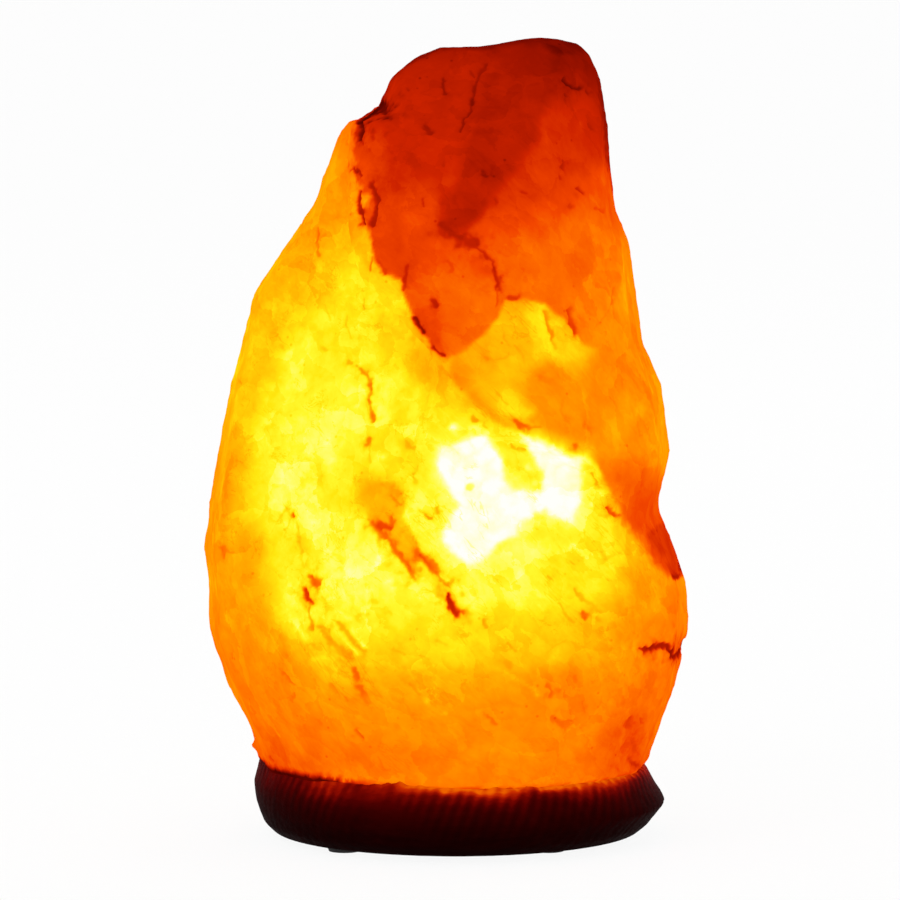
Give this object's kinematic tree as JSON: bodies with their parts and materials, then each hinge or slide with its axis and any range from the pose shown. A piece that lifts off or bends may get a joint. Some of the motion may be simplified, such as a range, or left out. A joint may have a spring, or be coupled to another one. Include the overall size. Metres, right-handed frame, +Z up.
{
  "type": "salt crystal lamp",
  "caption": "Table lamp made of a rough, hollowed rock-salt block on a turned wooden plinth, lit from inside by a small screw bulb in a clip-in holder.",
  "frame": {"origin": "on the plane that the rubber feet stand on, under the middle of the block's outline, on the axis of the bores, the lamp holder and the bulb", "axes": "+Z up; the front is -Y, and the groove for the lead leaves at the back, towards +Y; +X is to the right seen from the front"},
  "size_m": [0.147, 0.1316, 0.2415],
  "materials": {
    "salt": "satin",
    "wood": "satin",
    "rubber": "matte",
    "steel_screws": "satin",
    "bush_plastic": "matte",
    "black_plastic": "satin",
    "ceramic": "matte",
    "brass": "satin",
    "spring_steel": "satin",
    "bulb_glass": "gloss",
    "stem_glass": "gloss",
    "cap_metal": "satin",
    "black_glass": "gloss",
    "solder": "satin",
    "wire": "satin",
    "filament": "satin"
  },
  "bodies": {
    "stand": {"salt_crystal": "salt", "wood_base": "wood", "base_screws": "steel_screws", "rubber_feet": "rubber"},
    "holder": {"holder_cap": "black_plastic", "holder_skirt": "black_plastic", "cord_bush": "bush_plastic", "grip_screw": "steel_screws", "terminal_insert": "ceramic", "screw_shell": "brass", "centre_contact": "brass", "terminal_screws": "brass", "clip_collar": "spring_steel", "clamp_ring": "black_plastic", "clip_rivets": "spring_steel"},
    "clip_leaf_1": {"clip_leaf_1": "spring_steel"},
    "clip_leaf_2": {"clip_leaf_2": "spring_steel"},
    "clip_leaf_3": {"clip_leaf_3": "spring_steel"},
    "bulb_envelope": {"bulb_glass": "bulb_glass"},
    "bulb_core": {"bulb_cap": "cap_metal", "cap_insulator": "black_glass", "cap_contact": "solder", "bulb_stem": "stem_glass", "lead_wires": "wire", "filament": "filament", "filament_support": "wire"}
  },
  "joints": [
    {"name": "holder_slide", "type": "slide", "parent": "stand", "child": "holder", "axis": [0, 0, -1], "range_m": [0, 0.115]},
    {"name": "bulb_rise", "type": "slide", "parent": "holder", "child": "bulb_envelope", "axis": [0, 0, 1], "range_m": [0, 0.01128]},
    {"name": "bulb_turn", "type": "hinge", "parent": "bulb_envelope", "child": "bulb_core", "pos_m": [0, 0, 0.06], "axis": [0, 0, 1], "range_deg": [0, 1440]},
    {"name": "clip_leaf_1_flex", "type": "hinge", "parent": "holder", "child": "clip_leaf_1", "pos_m": [0, 0.01765, 0.0568], "axis": [1, 0, 0], "range_deg": [0, 6], "stiffness_Nm_per_rad": 0.02, "springref_deg": -6.02},
    {"name": "clip_leaf_2_flex", "type": "hinge", "parent": "holder", "child": "clip_leaf_2", "pos_m": [-0.01528, -0.00882, 0.0568], "axis": [-0.5, 0.866, 0], "range_deg": [0, 6], "stiffness_Nm_per_rad": 0.02, "springref_deg": -6.02},
    {"name": "clip_leaf_3_flex", "type": "hinge", "parent": "holder", "child": "clip_leaf_3", "pos_m": [0.01528, -0.00882, 0.0568], "axis": [-0.5, -0.866, 0], "range_deg": [0, 6], "stiffness_Nm_per_rad": 0.02, "springref_deg": -6.02}
  ],
  "couplings": [
    {"joint": "bulb_turn", "follows": "bulb_rise", "rad_per_m": 2226.3}
  ]
}
